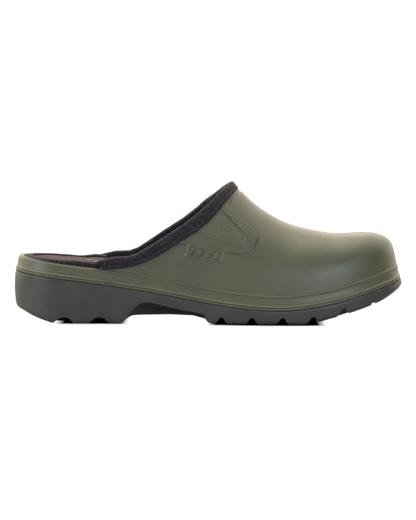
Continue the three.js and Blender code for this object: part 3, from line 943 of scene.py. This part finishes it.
def on_line(line, t):
    """The point at this share of a side-view line's length."""
    lengths = [0]
    for (ax, az), (bx, bz) in zip(line, line[1:]):
        lengths.append(lengths[-1] + math.hypot(bx - ax, bz - az))
    want = t * lengths[-1]
    for k in range(len(line) - 1):
        if lengths[k + 1] >= want or k == len(line) - 2:
            share = (want - lengths[k]) / (lengths[k + 1] - lengths[k])
            return mix(line[k][0], line[k + 1][0], share), mix(line[k][1], line[k + 1][1], share)


def shifted(line, distance):
    result = []
    for k, (x, z) in enumerate(line):
        (ax, az), (bx, bz) = line[max(k - 1, 0)], line[min(k + 1, len(line) - 1)]
        length = math.hypot(bx - ax, bz - az)
        result.append((x - (bz - az) / length * distance, z + (bx - ax) / length * distance))
    return result


def extended(line, distance):
    (ax, az), (bx, bz) = line[-2:]
    length = math.hypot(bx - ax, bz - az)
    return line + [(bx + (bx - ax) / length * distance, bz + (bz - az) / length * distance)]


TAPE_LOW = [(x, max(z, band_top(x) + SEAT_GAP)) for x, z in TAPE_EDGE]
TAPE_BACK = (TAPE_LOW[0][0] - 6, TAPE_LOW[0][1] + 5)
TAPE_TOP = [TAPE_BACK] + shifted(COLLAR, SEAT_GAP + TAPE)[1:]


def skin_point(x, z, side, lift):
    """The point of the vamp's flank at this side-view place, lifted off it."""
    st = Station(x, side)
    turn = st.turn_at(z)
    here = st.arch(turn)
    ahead = Station(x + 0.5, side)
    up = st.arch(min(turn + 0.01, math.pi / 2)) - st.arch(max(turn - 0.01, 0))
    along_x = ahead.arch(ahead.turn_at(here.z)) - here
    if turn > math.pi / 2 - 0.02:
        slope = (vamp_top(x + 1) - vamp_top(x - 1)) / 2
        normal = Vector((-slope, 0, 1))
    else:
        normal = along_x.cross(up) * -side
    return here + normal.normalized() * lift


def collar_curve(share, lift):
    """A line round the collar, at this share of the tape's width and this lift, wing to wing over the peak."""
    low, high = extended(TAPE_LOW, 14), extended(TAPE_TOP, 14)

    def flank(t):
        (ax, az), (bx, bz) = on_line(low, t), on_line(high, t)
        return mix(ax, bx, share), mix(az, bz, share)

    start, end = 0.5, 1.0
    for _ in range(30):
        middle = (start + end) / 2
        x, z = flank(middle)
        if z < vamp_top(x):
            start = middle
        else:
            end = middle
    halves = []
    for side in (OUTER, INNER):
        half = []
        for k in range(141):
            x, z = flank(start * (1 - (k / 140) ** 2))
            rise = roll_up(x, side) * smooth(0.45, 1.0, share)
            half.append(skin_point(x, z, side, lift) + Vector((-0.6 * rise, 0, 0.8 * rise)))
        halves.append(half)
    return halves[0][::-1] + halves[1][1:]


def roll_up(x, side):
    """How much further the collar's rolled edge stands up on the flanks, more so on the inner side."""
    return (0.9 if side == OUTER else 2.2) * smooth(84, 118, x) * (1 - smooth(140, 158, x))


STITCH_PITCH = 4.0
STITCH_SHARE = 0.3
TAPE_SECTION = [  # (share of the tape's width, lift off the shell)
    (0.02, 0.15), (0.0, 0.45), (0.0, 0.85), (0.04, 1.1), (0.11, 1.2), (0.18, 1.12), (0.24, 0.95),
    (STITCH_SHARE, 0.82), (0.36, 0.98), (0.43, 1.2), (0.52, 1.32), (0.64, 1.4), (0.76, 1.42), (0.86, 1.3),
    (0.93, 1.0), (0.98, 0.4), (1.01, -0.5), (1.025, -1.6), (1.025, -2.8), (1.01, -3.7), (0.98, -4.3),
    (0.92, -4.6), (0.8, -4.65), (0.6, -4.65), (0.4, -4.65), (0.2, -4.6), (0.06, -4.5), (0.0, -4.3),
]
SEAM_ROW, OUTER_ROW, INNER_ROW = 7, 10, 24  # the points on the seam, the outer leg and the inner leg


def make_collar_tape():
    count = 341
    rows = []
    for share, lift in TAPE_SECTION:
        rows.append(resample(collar_curve(share, lift), count))
    run = [0]
    for a, b in zip(rows[SEAM_ROW], rows[SEAM_ROW][1:]):
        run.append(run[-1] + (b - a).length)
    columns = []
    for i in range(count):
        out = (rows[OUTER_ROW][i] - rows[INNER_ROW][i]).normalized()
        column = []
        for j, (share, lift) in enumerate(TAPE_SECTION):
            p = rows[j][i].copy()
            if lift > 0:
                # the tape is pressed flatter where it goes over the peak
                at_peak = math.exp(-((run[i] - run[-1] / 2) / 12) ** 2)
                p -= out * 0.75 * at_peak * (1 - smooth(0.15, 0.7, share))
                phase = (run[i] / STITCH_PITCH) % 1
                at_hole = math.exp(-((phase - 0.5) * STITCH_PITCH / 0.62) ** 2)
                near_seam = math.exp(-((share - STITCH_SHARE) / 0.075) ** 2)
                p -= out * 0.7 * at_hole * near_seam * (1 - at_peak)
                puff = 0.12 * math.cos(2 * math.pi * (phase - 0.5) + math.pi)
                p += out * puff * math.exp(-((share - 0.12) / 0.09) ** 2)
            ripple = noise.noise(Vector((run[i] / 9, share * 2.2, lift / 5)))
            p += out * 0.22 * ripple * smooth(0.3, 0.8, share)
            if share < 0.06 and lift > 0:
                p.z += 0.22 * noise.noise(Vector((run[i] / 5, 4.1, 0)))
            column.append(p)
        columns.append(column)
    across = [0]
    for a, b in zip(columns[count // 4], columns[count // 4][1:]):
        across.append(across[-1] + (b - a).length)
    tape = sheet_of("collar_tape", columns, uv=lambda i, j: (run[i] / 1000, across[j] / 1000))
    apply_modifier(tape, "SOLIDIFY", thickness=0.00055, offset=1)
    apply_modifier(tape, "SUBSURF", levels=1, render_levels=1)
    soften(tape, 60)
    return finish_piece(tape, TAPE_CLOTH, "clog", "binding_tape", "collar_binding")


def stitch(name, length, thickness):
    """One stitch: a short rounded bar along X."""
    select_none()
    bpy.ops.mesh.primitive_uv_sphere_add(segments=8, ring_count=6, radius=0.5)
    obj = bpy.context.object
    obj.name = obj.data.name = name
    for v in obj.data.vertices:
        x, y, z = v.co.z, v.co.x, v.co.y
        stretch = length - thickness
        along_x = x * thickness + math.copysign(stretch / 2, x) * min(abs(x) * 4, 1)
        v.co = Vector((along_x, y * thickness, z * thickness))
        v.co /= 1000
    return obj


def stitches_along(name, line, lift_to, pitch, length, thickness, material, body, slot, *nodes):
    """Copies of one stitch along a line of points, each laid on the line between two needle holes."""
    model = stitch(name, length, thickness)
    run, walk = 0, [0]
    for a, b in zip(line, line[1:]):
        run += (b - a).length
        walk.append(run)
    copies = []
    for k in range(int(run / pitch)):
        want = k * pitch
        i = min(max(next((n for n, w in enumerate(walk) if w >= want), 1), 1), len(line) - 2)
        middle = line[i]
        ahead = (line[i + 1] - line[i - 1]).normalized()
        up = lift_to(i).normalized()
        side = up.cross(ahead).normalized()
        turn = Matrix((ahead, side, up)).transposed().to_4x4()
        mesh = model.data.copy()
        mesh.transform(Matrix.Translation(place(middle)) @ turn)
        copy = bpy.data.objects.new(name, mesh)
        bpy.context.scene.collection.objects.link(copy)
        copies.append(copy)
    bpy.data.objects.remove(model, do_unlink=True)
    seam = join(copies[0], copies[1:])
    seam.name = seam.data.name = name
    close_up(seam, 0.000001)
    soften(seam, 80)
    return finish_piece(seam, material, body, slot, *nodes)


def make_collar_seam():
    count = 681
    line = resample(collar_curve(STITCH_SHARE, 1.22), count)
    base = resample(collar_curve(STITCH_SHARE, 0.2), count)
    return stitches_along(
        "collar_seam", line, lambda i: line[i] - base[i], STITCH_PITCH, 3.1, 0.55, SEAM_THREAD,
        "clog", "seam_thread", "collar_stitching",
    )


# ---- The footbed ---------------------------------------------------------------------------------

HEEL_INSET = BAND_STEP + SHELL_WALL + FOOTBED_CLEARANCE + SEAT_GAP + TAPE
SOCK_INSET = BAND_STEP + SHELL_WALL + SEAT_GAP + LINING + SEAT_GAP + TAPE + FOOTBED_CLEARANCE
footbed_inset = along([(0, HEEL_INSET), (0.1, HEEL_INSET), (0.2, SOCK_INSET), (1, SOCK_INSET)])
TAPE_END = TAPE_BACK[0] + 7


def footbed_bottom(x):
    return floor_height(x) + 2 * SEAT_GAP + BOARD


def cover_bottom(x):
    return footbed_bottom(x) + FOAM + SEAT_GAP


def cover_top(x):
    return cover_bottom(x) + COVER


def lifted(height, by):
    return lambda x: height(x) + by


def crown(inset_from_edge, st):
    """How far the stitched-down edge sits below the padded middle. It stands up by the inner collar's end."""
    edge = -1.0 + (2.4 * smooth(46, 62, st.x) * (1 - smooth(80, 110, st.x)) if st.side == INNER else 0)
    return mix(edge, 0.3, smooth(1.0, 14.0, inset_from_edge))


def pad_columns(low, high, edge, rows_across=8, crowned_base=False):
    """Columns of a crowned pad between two heights, with its rounded edge as (inset, share of the height)."""
    columns = []
    for st in stations_round(16, 70, 22):
        inset = footbed_inset(st.x)
        # the steps across are closer together near the edge
        turns = [k / rows_across * math.pi / 2 for k in range(rows_across)]
        across = [mix(st.reach, inset + edge[0][0], math.sin(turn)) for turn in turns]
        base = [crown(d - inset, st) if crowned_base else 0 for d in across]
        column = [st.at(d, lifted(low, b)) for d, b in zip(across, base)]
        for extra, share in edge:
            foot = crown(extra, st) if crowned_base else 0
            head = crown(extra, st)
            column.append(st.at(inset + extra, lambda x: mix(low(x) + foot, high(x) + head, share)))
        column += [st.at(d, lifted(high, crown(d - inset, st))) for d in across[::-1]]
        columns.append(column)
    return columns


def make_footbed_foam():
    edge = [(0.5, 0), (0.12, 0.06), (0.0, 0.2), (0.0, 0.5), (0.0, 0.8), (0.12, 0.94), (0.5, 1)]
    top = lifted(footbed_bottom, FOAM)
    foam = sheet_of("footbed_pad", pad_columns(footbed_bottom, top, edge), ring=True)
    close_up(foam)
    soften(foam, 60)
    finish_piece(foam, FOAM_CELLS, "footbed", "foam", "footbed_foam")
    return foam


def settle(obj, cap):
    """Lets a thin cloth skin swell a little over its foam, by cloth simulation, up to this far in metres."""
    rest = [v.co.copy() for v in obj.data.vertices]
    select_only(obj)
    cloth = obj.modifiers.new("Cloth", "CLOTH")
    cloth.settings.quality = 5
    cloth.settings.mass = 0.2
    cloth.settings.use_pressure = True
    cloth.settings.uniform_pressure_force = 0.6
    cloth.settings.effector_weights.gravity = 0
    cloth.settings.tension_stiffness = 25
    cloth.settings.bending_stiffness = 0.4
    cloth.point_cache.frame_start = 1
    cloth.point_cache.frame_end = 12
    scene = bpy.context.scene
    for step in range(1, 13):
        scene.frame_set(step)
    bpy.ops.object.modifier_apply(modifier=cloth.name)
    scene.frame_set(1)
    for v, was in zip(obj.data.vertices, rest):
        move = v.co - was
        if move.length > cap:
            v.co = was + move * (cap / move.length)


def cloth_wave(at):
    return 0.22 * noise.noise(Vector((at.x * 34, at.y * 40, 2)))


def make_footbed_cover():
    edge = [(0.35, 0), (0.06, 0.12), (0.0, 0.4), (0.1, 0.78), (0.4, 0.96), (0.9, 1)]
    cover = sheet_of("footbed_cloth_top", pad_columns(cover_bottom, cover_top, edge, 14, True), ring=True)
    close_up(cover)
    settle(cover, 0.0003)
    for v in cover.data.vertices:
        v.co.z += cloth_wave(v.co) / 1000
    soften(cover, 60)
    finish_piece(cover, BROWN, "footbed", "footbed_cloth", "footbed_cover")
    return cover


def heel_edge_stations():
    """Stations round the heel, from the end of the footbed's tape on the outer side to the inner one."""
    round_end = [HEEL_HUB * (1 - math.cos(k / 26 * math.pi / 2)) for k in range(26)]
    straight = [mix(HEEL_HUB, TAPE_END, k / 20) for k in range(21)]
    xs = round_end + straight
    return [Station(x, OUTER) for x in xs[::-1]] + [Station(x, INNER) for x in xs[1:]]


def make_footbed_tape():
    to_tape = SEAT_GAP + TAPE
    # (inset from the footbed's edge, and a height: over the cover in tape thicknesses on the top, or a share
    # of the footbed's thickness on the side)
    section = [
        (4.4, "top", 0.35), (4.1, "top", 0.8), (3.4, "top", 1.0), (2.9, "top", 0.85), (2.4, "top", 1.02),
        (1.2, "top", 1.08), (0.1, "top", 1.0), (-0.6, "top", 0.7), (-1.0, "top", 0.1), (-1.08, "side", 0.8),
        (-1.1, "side", 0.5), (-1.08, "side", 0.2), (-0.8, "side", 0.05), (-0.1, "side", 0.0),
        (1.5, "side", 0.0), (4.2, "side", 0.0),
    ]
    columns, run = [], [0]
    for st in heel_edge_stations():
        inset = footbed_inset(st.x)
        column = []
        for extra, where, amount in section:
            edge = crown(max(extra, 0), st)
            if where == "top":
                height = lifted(cover_top, amount * to_tape + edge)
            else:
                height = lambda x: mix(footbed_bottom(x), cover_top(x) + edge, amount)
            column.append(st.at(inset + extra, height))
        columns.append(column)
    for a, b in zip(columns, columns[1:]):
        run.append(run[-1] + (b[5] - a[5]).length)
    for i, column in enumerate(columns):
        for j in range(2, 9):
            column[j].z += 0.16 * noise.noise(Vector((run[i] / 7, j * 0.4, 1.3)))
    across = [0]
    for a, b in zip(columns[10], columns[10][1:]):
        across.append(across[-1] + (b - a).length)
    tape = sheet_of("footbed_tape", columns, uv=lambda i, j: (run[i] / 1000, across[j] / 1000))
    apply_modifier(tape, "SOLIDIFY", thickness=TAPE / 1000 * 0.8, offset=1)
    apply_modifier(tape, "SUBSURF", levels=1, render_levels=1)
    soften(tape, 60)
    finish_piece(tape, TAPE_CLOTH, "footbed", "binding_tape", "footbed_binding")
    return tape


def make_footbed_seam():
    lift = SEAT_GAP + TAPE + 0.05
    dense = []
    for st in heel_edge_stations():
        dense.append(st.at(footbed_inset(st.x) + 2.9, lifted(cover_top, lift + crown(2.9, st))))
    line = resample(dense, 420)
    return stitches_along(
        "footbed_seam", line, lambda i: Vector((0, 0, 1)), 3.6, 2.7, 0.5, SEAM_THREAD,
        "footbed", "seam_thread", "footbed_stitching",
    )


def on_cover(x, y, lift):
    """A point this far over the middle of the footbed's cloth, which has a slight wave in it."""
    at = place(Vector((x, y, cover_top(x) + 0.3 + lift)))
    return Vector((x, y, cover_top(x) + 0.3 + lift + cloth_wave(at)))


def make_print():
    """A generic printed mark on the heel of the footbed: a row of short dashes between two thin rules."""
    # the middle, length and width of each
    bars = [(x, 0, 1.8, 8) for x in (40, 45, 50, 55, 60)]
    bars += [(50, -8, 26, 1), (50, 8, 26, 1)]
    made = []
    for x, y, length, width in bars:
        columns = []
        for k in range(7):
            px = x - length / 2 + length * k / 6
            columns.append([on_cover(px + 0.25 * yy, y + yy, 0.06) for yy in (-width / 2, 0, width / 2)])
        bar = sheet_of("print_bar", columns)
        apply_modifier(bar, "SOLIDIFY", thickness=0.00008, offset=1)
        made.append(bar)
    marks = join(made[0], made[1:])
    marks.name = marks.data.name = "footbed_print"
    finish_piece(marks, PRINT, "footbed", "footbed_cloth")


# ---- Loose threads -------------------------------------------------------------------------------


def make_thread_end(name, points, thickness, body, material, slot):
    """A loose end of thread through these points, tapering to its tip."""
    curve = bpy.data.curves.new(name, "CURVE")
    curve.dimensions = "3D"
    curve.bevel_depth = thickness / 2000
    curve.bevel_resolution = 2
    curve.use_fill_caps = True
    spline = curve.splines.new("BEZIER")
    spline.bezier_points.add(len(points) - 1)
    for k, (bp, p) in enumerate(zip(spline.bezier_points, points)):
        bp.co = place(p)
        bp.handle_left_type = bp.handle_right_type = "AUTO"
        bp.radius = 1 - 0.6 * k / (len(points) - 1)
    obj = bpy.data.objects.new(name, curve)
    bpy.context.scene.collection.objects.link(obj)
    select_only(obj)
    bpy.ops.object.convert(target="MESH")
    obj = bpy.context.object
    soften(obj, 80)
    return finish_piece(obj, material, body, slot)


THREAD_ENDS = [(62, 46.2, -2.2, 0.5), (66, 48.6, -1.8, 0.9), (65, 41.6, -1.2, -0.9)]  # root (x, z), reach


def make_thread_ends():
    """Short cut ends of thread at the back of the collar's tape, on both sides."""
    rng = random.Random(7)
    for side, label in ((OUTER, "outer"), (INNER, "inner")):
        for k, (x, z, dx, dz) in enumerate(THREAD_ENDS):
            start = skin_point(x, z, side, 1.5)
            mid = start + Vector((dx * 0.5, side * 0.5, dz * 0.4 + rng.uniform(-0.2, 0.2)))
            tip = start + Vector((dx, side * rng.uniform(0.1, 0.6), dz))
            make_thread_end(
                f"thread_end_{label}_{k + 1}", [start, mid, tip], 0.35, "clog", LOOSE_THREAD, "seam_thread"
            )


# ---- Assembly ------------------------------------------------------------------------------------

make_shell()
make_outsole()
make_lining()
make_collar_tape()
make_collar_seam()
make_footbed_foam()
make_footbed_cover()
make_footbed_tape()
make_footbed_seam()
make_print()
make_thread_ends()

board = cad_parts["insole_board"]
board.data.materials.clear()
board.data.materials.append(FIBREBOARD)

# ---- Studio --------------------------------------------------------------------------------------


# Where the heel and the forefoot stand on the floor: the middle and half the length of each, in metres.
FOOTPRINTS = ((-0.0875, 0.021), (0.043, 0.038))


def make_floor():
    """A white floor that the lens sees brighter than the clog does, so its bounce stays low."""
    select_none()
    bpy.ops.mesh.primitive_plane_add(size=60)
    floor = bpy.context.object
    floor.name = "studio_floor"
    material = bpy.data.materials.new("matt_white_floor")
    material.use_nodes = True
    tree = material.node_tree
    tree.nodes.remove(tree.nodes["Principled BSDF"])
    seen = add_node(tree, "ShaderNodeLightPath").outputs["Is Camera Ray"]
    matt = add_node(tree, "ShaderNodeBsdfDiffuse", Color=(0.4, 0.4, 0.4, 1))
    # the floor glows white to the lens, with a painted contact shadow from ambient occlusion only where the
    # heel and the forefoot stand on it
    near = add_node(tree, "ShaderNodeAmbientOcclusion", {"samples": 16}, Distance=0.022).outputs["AO"]
    glow = add_node(tree, "ShaderNodeMapRange", Value=near, From_Min=0.3, From_Max=0.75, To_Max=1.1).outputs[0]
    along_x = add_node(tree, "ShaderNodeSeparateXYZ", Vector=object_place(tree)).outputs["X"]
    shadow = None
    for middle, half in FOOTPRINTS:
        away = calc(tree, "ABSOLUTE", calc(tree, "SUBTRACT", along_x, middle))
        clear = add_node(
            tree, "ShaderNodeMapRange", Value=away, From_Min=half, From_Max=half + 0.007, To_Max=1.1
        ).outputs[0]
        lit = calc(tree, "MAXIMUM", glow, clear)
        shadow = calc(tree, "MINIMUM", shadow, lit) if shadow else lit
    white = add_node(tree, "ShaderNodeEmission", Color=(1, 1, 1, 1), Strength=shadow)
    both = add_node(tree, "ShaderNodeMixShader", Fac=seen)
    tree.links.new(matt.outputs[0], both.inputs[1])
    tree.links.new(white.outputs[0], both.inputs[2])
    tree.links.new(both.outputs[0], tree.nodes["Material Output"].inputs["Surface"])
    floor.data.materials.append(material)


def softbox(name, at, aim, width, height, power, colour):
    light = bpy.data.lights.new(name, "AREA")
    light.shape = "RECTANGLE"
    light.size, light.size_y = width, height
    light.energy = power
    light.color = colour
    obj = bpy.data.objects.new(name, light)
    bpy.context.scene.collection.objects.link(obj)
    obj.location = at
    obj.rotation_euler = (Vector(aim) - Vector(at)).to_track_quat("-Z", "Y").to_euler()


def make_light():
    """A warm silk overhead, two cool softboxes low in front at the heel and the toe, and a room that is bright
    behind and above the clog and dim in front."""
    silk = bpy.data.lights.new("overhead_silk", "SUN")
    silk.energy = 0.8
    silk.angle = math.radians(40)
    silk.color = (1.0, 0.87, 0.72)
    overhead = bpy.data.objects.new("overhead_silk", silk)
    bpy.context.scene.collection.objects.link(overhead)
    overhead.rotation_euler = (math.radians(-14), math.radians(-8), 0)
    softbox("front_softbox", (-1.6, -1.05, 0.5), (-0.08, 0, 0.03), 1.1, 0.9, 15, (0.8, 0.91, 1.0))
    softbox("toe_softbox", (0.72, -1.5, 0.42), (0.09, 0, 0.04), 1.0, 0.4, 11, (0.8, 0.91, 1.0))
    world = bpy.data.worlds.new("studio")
    bpy.context.scene.world = world
    world.use_nodes = True
    tree = world.node_tree
    direction = add_node(tree, "ShaderNodeTexCoord").outputs["Generated"]
    # bright behind the clog and above it, dim in front
    parts = add_node(tree, "ShaderNodeSeparateXYZ", Vector=direction).outputs
    back, top, toe = (
        calc(tree, "MULTIPLY", parts[axis], share) for axis, share in (("Y", 0.8), ("Z", 0.7), ("X", 0.25))
    )
    behind = calc(tree, "SUBTRACT", calc(tree, "ADD", back, top), toe)
    room = tone(tree, behind, "#3a424e", "#fff5e2", 0.02, 0.3)
    seen = add_node(tree, "ShaderNodeLightPath").outputs["Is Camera Ray"]
    tree.links.new(blend_colour(tree, seen, room, (1, 1, 1, 1)), tree.nodes["Background"].inputs["Color"])
    glow = add_node(
        tree, "ShaderNodeMapRange", Value=behind, From_Min=0.02, From_Max=0.3, To_Min=1.0, To_Max=2.1
    ).outputs[0]
    tree.links.new(calc(tree, "MAXIMUM", glow, seen), tree.nodes["Background"].inputs["Strength"])
    bpy.context.scene.view_settings.view_transform = "Standard"


def make_camera():
    """A long lens just above the ground, square to the clog's outer side."""
    camera = bpy.data.cameras.new("camera")
    camera.lens = 275
    camera.sensor_width = 36
    camera.sensor_fit = "HORIZONTAL"
    camera.clip_end = 200
    obj = bpy.data.objects.new("camera", camera)
    bpy.context.scene.collection.objects.link(obj)
    aim = Vector((-0.0005, 0, 0.0448))
    tilt = math.radians(4.5)
    distance = 2.4
    obj.location = aim + Vector((0, -distance * math.cos(tilt), distance * math.sin(tilt)))
    obj.rotation_euler = (aim - obj.location).to_track_quat("-Z", "Y").to_euler()
    bpy.context.scene.camera = obj


make_floor()
make_light()
make_camera()
